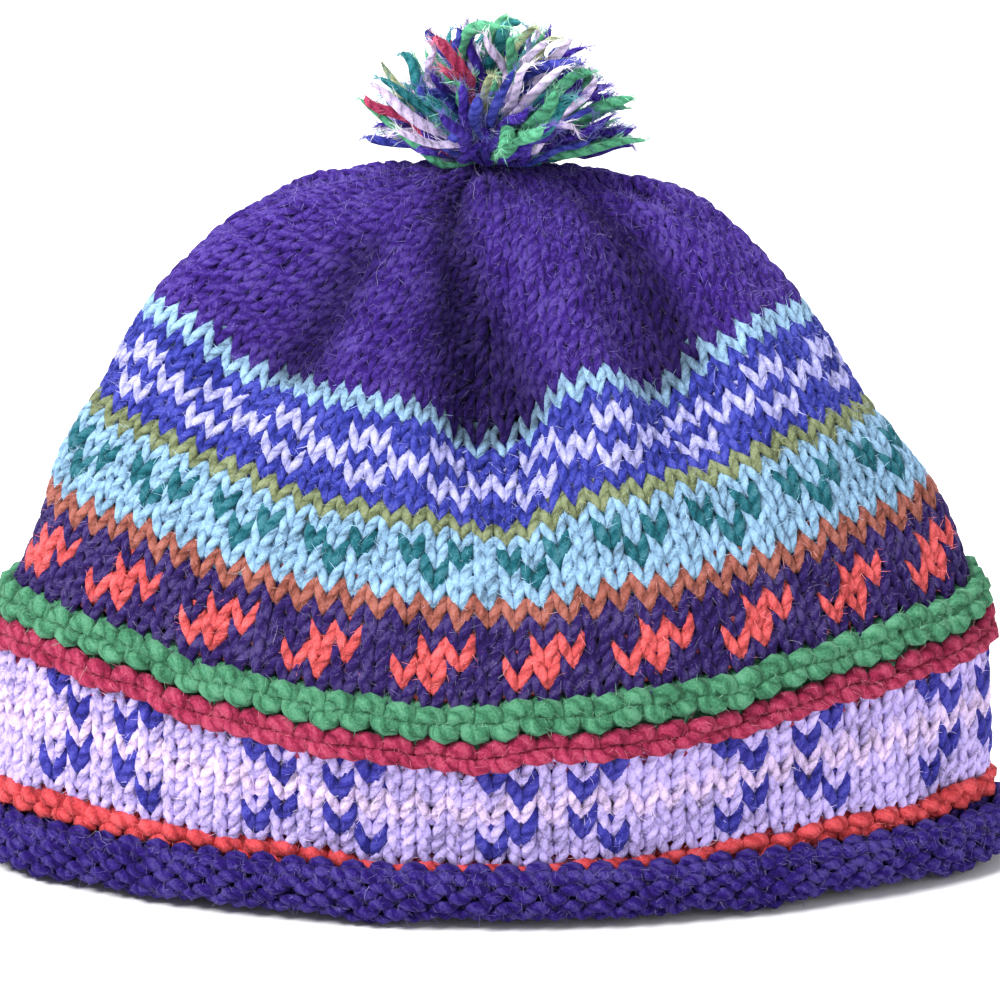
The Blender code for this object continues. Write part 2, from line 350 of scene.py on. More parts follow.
def rolled(turn, row):
    """Points and knit-side normals of the curled edge, for rows below zero."""
    rail = at_rail(turn, RAIL)
    outward = unit(at_rail(turn, RAIL_OUTWARD))
    wave = sum(np.sin(2 * math.pi * count * turn + phase) + 1.0 for count, phase in WAVES) / len(WAVES)
    wave = wave * WAVE_HEIGHT
    curl = (WALL + CORAL_RISE + GAP + at_rail(turn, RAIL_LEAN)) / 2
    low = curl + WALL / 2 + FLOOR_GAP + wave
    high = ROLL_HEIGHT - WALL / 2 - LIP_RADIUS
    wall_length = rail[..., 2] - low
    curl_length = math.pi * curl
    flap_length = high - low
    total = wall_length + curl_length + flap_length + LIP_RADIUS * LIP_TURN
    first_row = total - (ROLL_ROWS - 1) * ROLL_PITCH
    travelled = np.where(row > -1.0, -row * first_row, first_row - (row + 1.0) * ROLL_PITCH)
    bend = np.clip((travelled - wall_length) / curl, 0.0, math.pi)
    rise = np.clip(travelled - wall_length - curl_length, 0.0, flap_length)
    lip = np.clip((travelled - wall_length - curl_length - flap_length) / LIP_RADIUS, 0.0, LIP_TURN)
    out = curl - curl * np.cos(bend) - LIP_RADIUS * (1.0 - np.cos(lip))
    height = low + np.maximum(wall_length - travelled, 0.0) - curl * np.sin(bend) + rise
    height = height + LIP_RADIUS * np.sin(lip)
    angle = bend + lip
    points = rail * np.array([1.0, 1.0, 0.0]) + outward * out[..., None]
    points[..., 2] = height
    normal = outward * np.cos(angle)[..., None]
    normal[..., 2] = np.sin(angle)
    return points, normal


def waves(turn, row, table):
    return sum(wave.size * np.sin(2 * math.pi * wave.count * turn + wave.per_row * row + wave.phase)
               for wave in table)


def folds(turn, row):
    """How far the crown's soft folds sink at each place, and their painted shade on the wool, from 0 to 1.
    """
    degrees = (np.degrees(plan_angle(turn)) + 180.0) % 360.0 - 180.0
    depth = np.zeros_like(degrees)
    shade = np.zeros_like(degrees)
    for fold in FOLDS:
        share = np.clip((row - fold.low) / (fold.high - fold.low), 0.0, 1.0)
        angle = fold.low_angle + (fold.high_angle - fold.low_angle) * share
        fade = smooth_step(share / FOLD_FADE_SHARE) * smooth_step((1.0 - share) / FOLD_FADE_SHARE)
        off = (degrees - angle + 180.0) % 360.0 - 180.0
        here = fade * np.exp(-(off / np.where(off < 0.0, fold.before, fold.after)) ** 2)
        depth = depth + fold.depth * here
        shade = shade + fold.shade * here
    return depth, np.minimum(shade, 1.0) * smooth_step((row - SHADE_START_ROW) / SHADE_START_ROWS)


def hat_surface(turn, row):
    """Points and knit-side normals of the whole fabric, the ridges and the rolled edge included."""
    turn, row = np.broadcast_arrays(np.asarray(turn, dtype=float), np.asarray(row, dtype=float))
    upper = np.maximum(row, 0.0)
    points = fabric(turn, upper)
    normals = outward_of(fabric, turn, np.maximum(upper, 2 * SLOPE_STEP))
    out = ridge(upper) + waves(turn, row, UNEVEN_OUT) - folds(turn, upper)[0]
    points = points + normals * out[..., None]
    points[..., 2] += waves(turn, row, UNEVEN_UP) * smooth_step(row / CALM_ROWS)
    if (row < 0.0).any():
        below = row < 0.0
        points[below], normals[below] = rolled(turn[below], row[below])
    return points, normals


class Mesh:
    """Gathers tubes of yarn and turns them into one object."""

    def __init__(self):
        self.points = []
        self.normals = []
        self.quads = []
        self.slots = []
        self.uvs = []
        self.shades = []
        self.count = 0

    def add_tubes(self, paths, sides_out, radii, slots, flatness=1.0, closed=False, sides=SIDES,
                  shades=None):
        """Tubes along an array of paths, count by length by 3, all of one length."""
        count, length = paths.shape[:2]
        shades = np.zeros((count, length)) if shades is None else shades
        if closed:
            ahead, behind = np.roll(paths, -1, axis=1), np.roll(paths, 1, axis=1)
        else:
            ahead = np.concatenate([paths[:, 1:], paths[:, -1:]], axis=1)
            behind = np.concatenate([paths[:, :1], paths[:, :-1]], axis=1)
        along = unit(ahead - behind)
        side = unit(np.cross(along, sides_out))
        out = np.cross(side, along)
        angle = 2.0 * math.pi * np.arange(sides) / sides
        ring = (np.cos(angle)[:, None] * side[:, :, None, :]
                + flatness * np.sin(angle)[:, None] * out[:, :, None, :])
        points = paths[:, :, None, :] + ring * radii[:, :, None, None]
        steps = np.linalg.norm(np.diff(paths, axis=1), axis=-1)
        travelled = np.concatenate([np.zeros((count, 1)), np.cumsum(steps, axis=1)], axis=1)
        if closed:
            last = np.linalg.norm(paths[:, 0] - paths[:, -1], axis=-1)
            travelled = np.concatenate([travelled, (travelled[:, -1] + last)[:, None]], axis=1)
        links = length if closed else length - 1
        tube, link, edge = np.meshgrid(np.arange(count), np.arange(links), np.arange(sides), indexing="ij")
        after = (link + 1) % length
        beside = (edge + 1) % sides
        first = self.count + (tube * length + link) * sides
        second = self.count + (tube * length + after) * sides
        quads = np.stack([first + edge, first + beside, second + beside, second + edge], axis=-1)
        near, far = travelled[tube, link], travelled[tube, link + 1]
        low, high = edge / sides, (edge + 1) / sides
        uvs = np.stack([near, low, near, high, far, high, far, low], axis=-1)
        self.points.append(points.reshape(-1, 3))
        self.normals.append(ring.reshape(-1, 3))
        self.shades.append(np.repeat(shades.reshape(-1), sides))
        self.quads.append(quads.reshape(-1, 4))
        self.slots.append(np.broadcast_to(slots[:, :, None], (count, links, sides)).reshape(-1))
        self.uvs.append(uvs.reshape(-1, 4, 2))
        self.count += count * length * sides

    def add_ribbons(self, paths, facing, width, slots, shades):
        """Flat strips one face wide, for fibres that are finer than a pixel."""
        count, length = paths.shape[:2]
        ahead = np.concatenate([paths[:, 1:], paths[:, -1:]], axis=1)
        behind = np.concatenate([paths[:, :1], paths[:, :-1]], axis=1)
        side = unit(np.cross(ahead - behind, facing[:, None])) * (width / 2)[..., None]
        points = np.stack([paths - side, paths + side], axis=2)
        strip, link = np.meshgrid(np.arange(count), np.arange(length - 1), indexing="ij")
        first = self.count + (strip * length + link) * 2
        quads = np.stack([first, first + 1, first + 3, first + 2], axis=-1)
        corners = np.array([[0.0, 0.0], [0.0, 1.0], [1.0, 1.0], [1.0, 0.0]])
        self.points.append(points.reshape(-1, 3))
        self.normals.append(np.broadcast_to(facing[:, None, None], points.shape).reshape(-1, 3))
        self.shades.append(np.repeat(shades, length * 2))
        self.quads.append(quads.reshape(-1, 4))
        self.slots.append(np.broadcast_to(slots[:, None], (count, length - 1)).reshape(-1))
        self.uvs.append(np.broadcast_to(corners, (quads.size // 4, 4, 2)))
        self.count += count * length * 2

    def build(self, name, materials):
        points = np.concatenate(self.points).astype(np.float32)
        quads = np.concatenate(self.quads).astype(np.int32)
        slots = np.concatenate(self.slots).astype(np.int32)
        uvs = np.concatenate(self.uvs).astype(np.float32)
        mesh = bpy.data.meshes.new(name)
        mesh.vertices.add(len(points))
        mesh.vertices.foreach_set("co", points.ravel())
        mesh.loops.add(quads.size)
        mesh.loops.foreach_set("vertex_index", quads.ravel())
        mesh.polygons.add(len(quads))
        mesh.polygons.foreach_set("loop_start", np.arange(0, quads.size, 4, dtype=np.int32))
        for material in materials:
            mesh.materials.append(material)
        mesh.polygons.foreach_set("material_index", slots)
        mesh.update(calc_edges=True)
        mesh.uv_layers.new(name="yarn").data.foreach_set("uv", uvs.ravel())
        shades = np.concatenate(self.shades).astype(np.float32)
        # Painted shade of the crown's folds, by which the materials darken the wool
        mesh.attributes.new("shade", "FLOAT", "POINT").data.foreach_set("value", shades)
        mesh.shade_smooth()
        thing = bpy.data.objects.new(name, mesh)
        bpy.context.scene.collection.objects.link(thing)
        return thing


def linear(code):
    """Linear colour of an sRGB hex code."""
    values = [int(code[place:place + 2], 16) / 255.0 for place in (0, 2, 4)]
    return [value / 12.92 if value <= 0.04045 else ((value + 0.055) / 1.055) ** 2.4 for value in values]


def mixed(first, second, share):
    return [a + (b - a) * share for a, b in zip(first, second)]


class Nodes:
    """Short way to write a material's node tree."""

    def __init__(self, name):
        self.material = bpy.data.materials.new(name)
        self.material.use_nodes = True
        self.tree = self.material.node_tree
        self.shader = self.tree.nodes["Principled BSDF"]

    def new(self, kind, **settings):
        node = self.tree.nodes.new(kind)
        for key, value in settings.items():
            setattr(node, key, value)
        return node

    def link(self, source, target):
        self.tree.links.new(source, target)

    def math(self, operation, first, second=None, third=None):
        node = self.new("ShaderNodeMath", operation=operation)
        for place, value in enumerate((first, second, third)):
            if value is None:
                continue
            if isinstance(value, (int, float)):
                node.inputs[place].default_value = value
            else:
                self.link(value, node.inputs[place])
        return node.outputs[0]

    def noise(self, vector, scale, detail=2.0, roughness=0.55):
        node = self.new("ShaderNodeTexNoise")
        self.link(vector, node.inputs["Vector"])
        node.inputs["Scale"].default_value = scale
        node.inputs["Detail"].default_value = detail
        node.inputs["Roughness"].default_value = roughness
        return node.outputs["Fac"]

    def ramp(self, factor, stops):
        node = self.new("ShaderNodeValToRGB")
        elements = node.color_ramp.elements
        while len(elements) < len(stops):
            elements.new(0.5)
        for element, (place, colour) in zip(elements, stops):
            element.position = place
            element.color = (*colour, 1.0)
        self.link(factor, node.inputs["Fac"])
        return node.outputs["Color"]

    def with_painted_fold_shade(self, colour):
        """The colour with painted shade, darker where the fabric is folded in."""
        shade = self.new("ShaderNodeAttribute", attribute_name="shade").outputs["Fac"]
        node = self.new("ShaderNodeHueSaturation")
        self.link(self.math("MULTIPLY_ADD", shade, -FOLD_PAINTED_SHADE, 1.0), node.inputs["Value"])
        self.link(colour, node.inputs["Color"])
        return node.outputs["Color"]


# Wool: the length of one turn of its plies and of its fibres, and the depth and strength of its relief.
# Then how many fibres lie round the yarn, how fine its dye and mottle are, how much brighter and hazier
# its painted highlights are than its colour, and how much darker the painted shade in its grooves
PLY_PITCH = 0.0075
FIBRE_LENGTH = 0.0020
BUMP_DEPTH = 0.0006
BUMP_STRENGTH = 0.9
FIBRES_ROUND = 11.0
DYE_SCALE = 130.0
MOTTLE_SCALE = 1500.0
LIT_GAIN = 1.38
LIT_HAZE = 0.034
GROOVE_PAINTED_SHADE = 0.58
WHITE = [1.0, 1.0, 1.0]
BLACK = [0.0, 0.0, 0.0]

# How much each part of the wool's surface counts in its relief and in its tone
Weights = namedtuple("Weights", "groove fibres dye mottle")
RELIEF = Weights(0.35, 0.75, 0.0, 0.50)
TONE = Weights(0.35, 0.85, 0.80, 0.75)


# Painted highlight: the colour made brighter and hazier, as where light falls on it
def painted_highlight(base):
    return [min(1.0, value * LIT_GAIN + LIT_HAZE) for value in base]


def wool(name, code):
    """Loosely spun two-ply wool: grooves between the plies with painted shade, fine fibres along them,
    uneven dye.
    """
    nodes = Nodes(name)
    base = linear(code)
    coordinates = nodes.new("ShaderNodeTexCoord")
    place = nodes.new("ShaderNodeSeparateXYZ")
    nodes.link(coordinates.outputs["UV"], place.inputs[0])
    along, around = place.outputs["X"], place.outputs["Y"]
    twist = nodes.math("MULTIPLY_ADD", along, 1.0 / PLY_PITCH, around)
    groove = nodes.math("ABSOLUTE", nodes.math("SINE", nodes.math("MULTIPLY", twist, 2.0 * math.pi)))
    strand = nodes.new("ShaderNodeCombineXYZ")
    nodes.link(nodes.math("MULTIPLY", along, 1.0 / FIBRE_LENGTH), strand.inputs["X"])
    nodes.link(nodes.math("MULTIPLY", twist, FIBRES_ROUND), strand.inputs["Y"])
    fibres = nodes.noise(strand.outputs[0], 1.0, 4.0, 0.7)
    dye = nodes.noise(coordinates.outputs["Object"], DYE_SCALE)
    mottle = nodes.noise(coordinates.outputs["Object"], MOTTLE_SCALE, 2.0, 0.6)
    relief = nodes.math("MULTIPLY_ADD", groove, RELIEF.groove, nodes.math("MULTIPLY", fibres, RELIEF.fibres))
    relief = nodes.math("MULTIPLY_ADD", mottle, RELIEF.mottle, relief)
    # In the tone, the grooves are painted shade between the plies and their crests a painted highlight;
    # fibres, dye and mottle vary it at random
    tone = nodes.math("MULTIPLY_ADD", groove, TONE.groove, nodes.math("MULTIPLY", fibres, TONE.fibres))
    tone = nodes.math("MULTIPLY_ADD", nodes.math("SUBTRACT", dye, 0.5), TONE.dye, tone)
    tone = nodes.math("MULTIPLY_ADD", nodes.math("SUBTRACT", mottle, 0.5), TONE.mottle, tone)
    # From painted shade in the grooves through the yarn's colour to a painted highlight
    colour = nodes.ramp(tone, [
        (0.30, mixed(base, BLACK, GROOVE_PAINTED_SHADE)),
        (0.62, base),
        (0.92, painted_highlight(base)),
    ])
    nodes.link(nodes.with_painted_fold_shade(colour), nodes.shader.inputs["Base Color"])
    bump = nodes.new("ShaderNodeBump")
    bump.inputs["Distance"].default_value = BUMP_DEPTH
    bump.inputs["Strength"].default_value = BUMP_STRENGTH
    nodes.link(relief, bump.inputs["Height"])
    nodes.link(bump.outputs["Normal"], nodes.shader.inputs["Normal"])
    rough = nodes.math("MULTIPLY_ADD", fibres, -0.12, 0.96)
    nodes.link(rough, nodes.shader.inputs["Roughness"])
    nodes.shader.inputs["Specular IOR Level"].default_value = 0.06
    nodes.shader.inputs["Sheen Weight"].default_value = 0.12
    nodes.shader.inputs["Sheen Roughness"].default_value = 0.45
    nodes.shader.inputs["Sheen Tint"].default_value = (*mixed(base, WHITE, 0.35), 1.0)
    return nodes.material


def fibre(name, code, paleness):
    """Single loose fibre of a yarn, with a painted highlight: paler than the yarn, as where light catches
    it.
    """
    nodes = Nodes(name)
    pale = mixed(painted_highlight(linear(code)), WHITE, paleness)
    coordinates = nodes.new("ShaderNodeTexCoord")
    shade = nodes.noise(coordinates.outputs["Object"], 400.0)
    colour = nodes.ramp(shade, [(0.3, mixed(pale, BLACK, 0.2)), (0.7, painted_highlight(pale))])
    # Painted shade of the folds, as on the yarn
    nodes.link(nodes.with_painted_fold_shade(colour), nodes.shader.inputs["Base Color"])
    nodes.shader.inputs["Roughness"].default_value = 0.75
    nodes.shader.inputs["Specular IOR Level"].default_value = 0.2
    nodes.shader.inputs["Sheen Weight"].default_value = 0.2
    return nodes.material


WOOLS = {name: wool("wool_" + name, code) for name, code in YARNS.items()}

# Charts, bottom row first, one letter a stitch round the hat, counted from the front
KEYS = {
    "P": "plum", "C": "coral", "L": "lilac", "K": "pink", "B": "blue", "R": "crimson", "G": "green",
    "M": "motif", "O": "rust", "S": "sky", "T": "teal", "V": "olive", "Y": "royal", "W": "pearl",
    "Q": "turquoise",
}
Band = namedtuple("Band", "node low high purls slot chart")
BANDS = [
    Band("coral_welt", "coral", "lilac", (1,), "coral_wool", ["C", "C"]),
    Band("cross_band", "lilac", "crimson", (), "lilac_wool",
         ["LLLLLLLL", "BLLLBLLL", "LBLBLLLL", "KKKKKKKK", "LBLBLLLL", "BLLLBLLL"]),
    Band("crimson_welt", "crimson", "green", (1,), "crimson_wool", ["R", "R"]),
    Band("green_welt", "green", "zigzag", (1,), "green_wool", ["G", "G"]),
    Band("zigzag_band", "zigzag", "rust", (), "purple_wool", ["P", "PMMP", "PPMM", "P"]),
    Band("rust_stripe", "rust", "sky", (), "rust_wool", ["O"]),
    Band("lozenge_band", "sky", "olive", (), "sky_wool", ["S", "SSTS", "STST", "S"]),
    Band("olive_stripe", "olive", "royal", (), "olive_wool", ["V"]),
    Band("wave_band", "royal", "turquoise", (), "royal_wool", ["Y", "YYWW", "WWYY", "YYWW", "Y"]),
    Band("turquoise_stripe", "turquoise", "crown", (), "turquoise_wool", ["Q"]),
]
PURL_ROWS = {int(ROWS[band.low]) + step for band in BANDS for step in band.purls}


def face_of(row):
    """1 where the row is knitted, -1 where it is purled."""
    return -1.0 if row in PURL_ROWS else 1.0


def style_of(row):
    if row < 0:
        return ROLLED
    if row == ROWS["crimson"]:
        return CRIMSON_BELOW
    if row == ROWS["crimson"] + 1:
        return CRIMSON_ABOVE
    if row in PURL_ROWS:
        return RIDGE_ABOVE
    if row + 1 in PURL_ROWS:
        return RIDGE_BELOW
    strained = ROWS["lilac"] <= row < ROWS["crimson"] or ROWS["sky"] <= row < ROWS["olive"]
    return STRAINED if strained else PLAIN


def seam_depth(row):
    if row < 0 or row in PURL_ROWS:
        return SEAM_DEPTH_PURLED
    return SEAM_DEPTH_OVER_PURL if row - 1 in PURL_ROWS else SEAM_DEPTH


def reach_up(row):
    if row in PURL_ROWS:
        return PURL_REACH_UP
    return REACH_UP_UNDER_PURL if row + 1 in PURL_ROWS else style_of(row).reach


def reach_down(row):
    if row in PURL_ROWS:
        return PURL_REACH_DOWN
    return REACH_DOWN_OVER_PURL if row - 1 in PURL_ROWS else style_of(row).reach


def uneven(dice, count, spread):
    """Smooth uneven values along a row, from one value for every half stitch."""
    knots = dice.normal(0.0, spread, count * 2)
    where = np.arange(count * SAMPLES) / SAMPLES * 2
    return np.interp(where, np.arange(count * 2 + 1), np.append(knots, knots[0]))


def loop_row(mesh, dice, row, count, place, colours, fuller):
    """One row of interlocked loops round the hat.

    place gives the share of the way round for positions in stitches and rows; colours is a slot for
    each stitch, and fuller how much thicker its yarn is.
    """
    style = style_of(row)
    beat = np.tile(np.arange(SAMPLES) / SAMPLES * 2.0 * math.pi, count)
    stitch = np.repeat(np.arange(count), SAMPLES)
    here, above = face_of(row), face_of(row + 1)
    foot, head = -here * seam_depth(row), -above * seam_depth(row + 1)
    leg = style.leg if style.leg < 0.0 else (here + above) / 2 * style.leg
    low = np.cos(beat) > 0.0
    end = np.where(low, foot, head)
    dive = (1.0 - np.cos(2.0 * beat)) / 2.0
    if style.leg < 0.0:
        dive = dive ** RIDGE_DIVE_POWER
    depth = end + (leg - end) * dive
    spread = np.where(low, style.foot_spread, style.head_spread)
    across = stitch + beat / (2.0 * math.pi) - 0.5 + spread * np.sin(2.0 * beat)
    across = across + uneven(dice, count, UNEVEN_ACROSS)
    reach = np.where(low, reach_down(row), reach_up(row))
    height = row + 0.5 - reach * np.cos(beat) * (1.0 + uneven(dice, count, UNEVEN_REACH))
    turn = place(across, height)
    points, normals = hat_surface(turn, height)
    width = np.linalg.norm(np.diff(points[::SAMPLES], axis=0), axis=-1).mean()
    size = style.radius * (width / USUAL_STITCH) ** WIDTH_POWER
    radii = size * (1.0 + TURN_SWELL * np.cos(2.0 * beat)) * (1.0 + uneven(dice, count, UNEVEN_RADIUS))
    radii = radii * fuller[stitch]
    depth = depth + uneven(dice, count, UNEVEN_DEPTH)
    points = points + normals * depth[:, None]
    slots = np.repeat(colours, SAMPLES)
    # Painted shade of the folds along the row
    shades = folds(turn, height)[1]
    mesh.add_tubes(points[None], normals[None], radii[None], slots[None], FLATNESS, True,
                   shades=shades[None])


def around_body(across, height):
    return across / STITCHES


def band_piece(band, number):
    """The rows of one band, coloured by its chart."""
    dice = np.random.default_rng(BAND_SEED + number)
    mesh = Mesh()
    names = sorted({KEYS[letter] for line in band.chart for letter in line})
    names.sort(key=lambda name: name != KEYS[band.chart[0][0]])
    for step, line in enumerate(band.chart):
        letters = [line[stitch % len(line)] for stitch in range(STITCHES)]
        colours = np.array([names.index(KEYS[letter]) for letter in letters])
        fuller = np.array([FULLER.get(names[colour], 1.0) for colour in colours])
        loop_row(mesh, dice, int(ROWS[band.low]) + step, STITCHES, around_body, colours, fuller)
    piece = mesh.build(band.node + "_knit", [WOOLS[name] for name in names])
    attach(piece, "root")
    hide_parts(band.node)
    return mesh, names


def edge_yarn(mesh, dice):
    """The yarn that the hat was cast on with, along the crest of the rolled edge."""
    across = np.arange(STITCHES * SAMPLES) / SAMPLES
    beat = 2.0 * math.pi * across
    turn = around_body(across, 0.0)
    points, normals = hat_surface(turn, EDGE_ROW + EDGE_ROW_SWAY * np.sin(beat))
    points = points - normals * (EDGE_DEPTH + EDGE_DEPTH_SWAY * np.sin(2.0 * beat))[:, None]
    radii = EDGE_RADIUS * (1.0 + EDGE_SWELL * np.cos(2.0 * beat))
    radii = radii * (1.0 + uneven(dice, STITCHES, UNEVEN_RADIUS))
    slots = np.zeros((1, STITCHES * SAMPLES), dtype=int)
    mesh.add_tubes(points[None], normals[None], radii[None], slots, FLATNESS, True)


def brim_piece():
    """The rolled edge: plain rows below the coral ridge that show their purl side."""
    dice = np.random.default_rng(BRIM_SEED)
    mesh = Mesh()
    for row in range(-ROLL_ROWS, 0):
        loop_row(mesh, dice, row, STITCHES, around_body, np.zeros(STITCHES, dtype=int), np.ones(STITCHES))
    edge_yarn(mesh, dice)
    # The rolled brim's purple, painted darker as painted shade
    piece = mesh.build("brim_roll_knit", [WOOLS["purple"]])
    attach(piece, "root")
    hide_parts("brim_roll")
    return mesh, ["purple"]


CROWN_START = int(ROWS["crown"])
CROWN_ROW_COUNT = int(TOP_ROW) - CROWN_START
WEDGE_COUNTS = [WEDGE_STITCHES - step // 2 for step in range(CROWN_ROW_COUNT)]


def crown_piece():
    """The crown's rows: eight wedges that each lose a stitch every second row."""
    dice = np.random.default_rng(CROWN_SEED)
    mesh = Mesh()
    centres = CROWN_START + np.arange(CROWN_ROW_COUNT) + 0.5
    for step, in_wedge in enumerate(WEDGE_COUNTS):
        def place(across, height, in_wedge=in_wedge):
            wedge = np.floor((across + 1e-9) / in_wedge)
            within = across - wedge * in_wedge
            return (wedge + within / np.interp(height, centres, WEDGE_COUNTS)) / WEDGES

        count = in_wedge * WEDGES
        loop_row(mesh, dice, CROWN_START + step, count, place, np.zeros(count, dtype=int),
                 np.full(count, CROWN_FULLER))
    # The crown's purple, painted brighter as painted light
    piece = mesh.build("crown_knit", [WOOLS["violet"]])
    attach(piece, "root")
    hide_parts("crown")
    return mesh, ["violet"]


# The pompom: a few strands charted one by one, the others scattered. The chart says how thick a strand is,
# and how far its bend and its tip lie to the right of the root and above it, in millimetres as seen from
# in front
ROOT = np.array([-0.0018, 0.0, 0.1772])
REACH = 0.0343
CHART_SCALE = 0.935
STRAND_SHARES = np.array([0.0, 0.12, 0.25, 0.38, 0.5, 0.62, 0.74, 0.85, 0.93, 0.975, 0.995, 1.0])
STRAND_STEPS = len(STRAND_SHARES)
STRAND_SIDES = 7
STRAND_RADIUS = 0.00118
SCATTERED = 270
MILLIMETRE = 0.001
Strand = namedtuple("Strand", "yarn thickness bend_across bend_above tip_across tip_above")
CHARTED = [Strand(*row) for row in (
    ("green", 0.8, -14, 1.5, -31, 12), ("pink", 1.0, -13, 8, -27, 17), ("crimson", 1.1, -17, 7, -29, 15),
    ("pink", 0.9, -9, 2, -22, 6.5), ("teal", 1.1, -12, 10, -27, 19), ("teal", 1.2, -12, 14, -22, 24),
    ("olive", 0.8, -16, 14, -27, 25), ("purple", 1.1, -7, 12, -15, 21), ("royal", 1.2, -8, 12, -14, 17),
    ("crimson", 1.3, -4, 18, -12, 26), ("crimson", 0.9, -3, 16, -11, 23), ("royal", 1.2, -7, 22, -13, 33),
    ("royal", 1.3, -5, 22, -7.5, 34), ("pink", 0.8, -3, 24, -4.5, 35), ("purple", 1.1, -2, 24, -1.5, 34),
    ("pink", 0.8, -9, 18, -17, 29), ("green", 1.3, -6, 26, 6, 32), ("teal", 1.4, 2, 26, 11, 33),
    ("green", 0.9, 1, 25, 6.5, 34.4), ("pink", 1.0, 5, 17, 1.5, 30), ("green", 1.2, 6, 18, 9, 29),
    ("olive", 0.9, 6, 22, 14, 32), ("olive", 0.9, 8, 20, 19, 28.5), ("pink", 0.9, 7, 19, 15, 27),
    ("royal", 1.4, 8, 17, 22, 23), ("pink", 1.0, 10, 16, 21, 28), ("purple", 0.9, 12, 18, 27, 28),
    ("pink", 1.1, 6, 9, 19, 20), ("pink", 0.9, 5, 12, 13, 21), ("green", 1.3, 14, 15, 29, 21),
    ("purple", 1.1, 17, 13, 33, 19), ("purple", 1.0, 17, 15, 31, 21.5), ("green", 1.4, 17, 9, 37, 14.5),
    ("green", 1.2, 18, 10, 37, 12), ("purple", 1.3, 18, 5, 40, 8), ("purple", 0.9, 18, 4, 36, 8.5),
    ("green", 1.0, 20, 2.5, 43.5, 5), ("teal", 1.4, 12, 6, 24, 13), ("teal", 1.3, 10, 8, 21, 16),
    ("green", 1.6, 10, 3, 17, 16), ("green", 1.5, 6, 6, 3.5, 0.5), ("green", 1.3, 8, 2, 14, 6),
    ("royal", 1.1, 2, 7, 8, 19), ("purple", 1.2, 4, 5, 11, 12), ("royal", 1.3, -2, 6, -1, 14),
    ("purple", 1.3, -5, 6, -6, 16), ("green", 1.0, -3, 10, -9, 17.5), ("olive", 0.9, 0, 14, 3, 18),
    ("purple", 1.2, -4, 3, -11, 9), ("teal", 1.1, -5, 7, -15, 14), ("purple", 1.2, 8, 2, 20, 7),
)]

# The charted strands' bends lie this far off the chart and lean this share of the tips' lean forward,
# which is at least the last size
CHART_SPREAD = 0.0010
BEND_LEAN = 0.55
LEAST_LEAN = 0.004

# The scattered strands' yarns, as shares in front, and behind them left and right of MIX_SIDE
POMPOM_YARNS = ["purple", "royal", "green", "teal", "pearl", "crimson", "olive", "pink"]
CORE_MIX = (0.34, 0.30, 0.10, 0.16, 0.04, 0.0, 0.02, 0.04)
LEFT_MIX = (0.14, 0.12, 0.18, 0.22, 0.06, 0.03, 0.08, 0.17)
RIGHT_MIX = (0.24, 0.10, 0.30, 0.26, 0.01, 0.0, 0.03, 0.06)
MIX_SIDE = 0.002

# How the scattered strands fan out. The parts of a strand's heading are shares of its length: its least
# rise, and how much more it rises the more it heads forward or left, up to the end of each span
GOLDEN_TURN = math.pi * (3.0 - math.sqrt(5.0))
HEADING_SPREAD = 0.06
LOW_RISE = 0.10
FRONT_RISE = 0.50
FRONT_RISE_SPAN = 0.7
LEFT_RISE = 0.16
LEFT_RISE_SPAN = 0.6

# How long they are, as shares of REACH: shorter the more they head forward and at the far left, longer
# at the right. Then how far their bends lie off a straight line, and how low
SHORTEST = 0.86
LONGEST = 0.98
FRONT_SHORTER = 0.34
FRONT_START = 0.05
FRONT_SPAN = 0.5
FAR_LEFT = -0.5
FAR_LEFT_SHORTER = 0.06
RIGHT_LONGER = 0.08
BEND_SPREAD = 0.0055
LOWEST_BEND = 0.001

# Every strand: how far it sways from its curve, how uneven it is, how its thickness runs along it, and
# how far above the root it stays, at the root and less at the tip
SWAY = 0.0009
SWAY_SLOW = 5.0
SWAY_FAST = 11.0
STRAND_UNEVEN = 0.09
THINNEST = 0.70
THICKEST = 1.1
ROOT_CLEARANCE = 0.0008
TIP_DROOP = 0.004
TAPER_SHARES = (0.0, 0.3, 0.74, 0.85, 0.93, 0.975, 1.0)
TAPER_SIZES = (0.55, 0.95, 1.0, 0.92, 0.72, 0.45, 0.02)


def strand_paths(bends, tips):
    """Curves from the root through a bend to a tip."""
    share = STRAND_SHARES[None, :, None]
    return ROOT + 2.0 * share * (1.0 - share) * bends[:, None] + share ** 2 * tips[:, None]


def charted_strands(dice):
    """Bends and tips of the charted strands, leaning towards the front as far as their length lets them."""
    chart = np.array([strand[2:] for strand in CHARTED]) * MILLIMETRE * CHART_SCALE
    bend_across, bend_above, tip_across, tip_above = chart.T
    seen = np.hypot(tip_across, tip_above)
    lean = -np.sqrt(np.maximum(REACH ** 2 - seen ** 2, LEAST_LEAN ** 2))
    places = []
    for across, above, share in ((bend_across, bend_above, BEND_LEAN), (tip_across, tip_above, 1.0)):
        front = lean * share
        height = (above - front * math.sin(VIEW_HEIGHT)) / math.cos(VIEW_HEIGHT)
        places.append(np.stack([across, front, height], axis=-1))
    bends, tips = places
    return 2.0 * bends - 0.5 * tips + dice.normal(0.0, CHART_SPREAD, bends.shape), tips


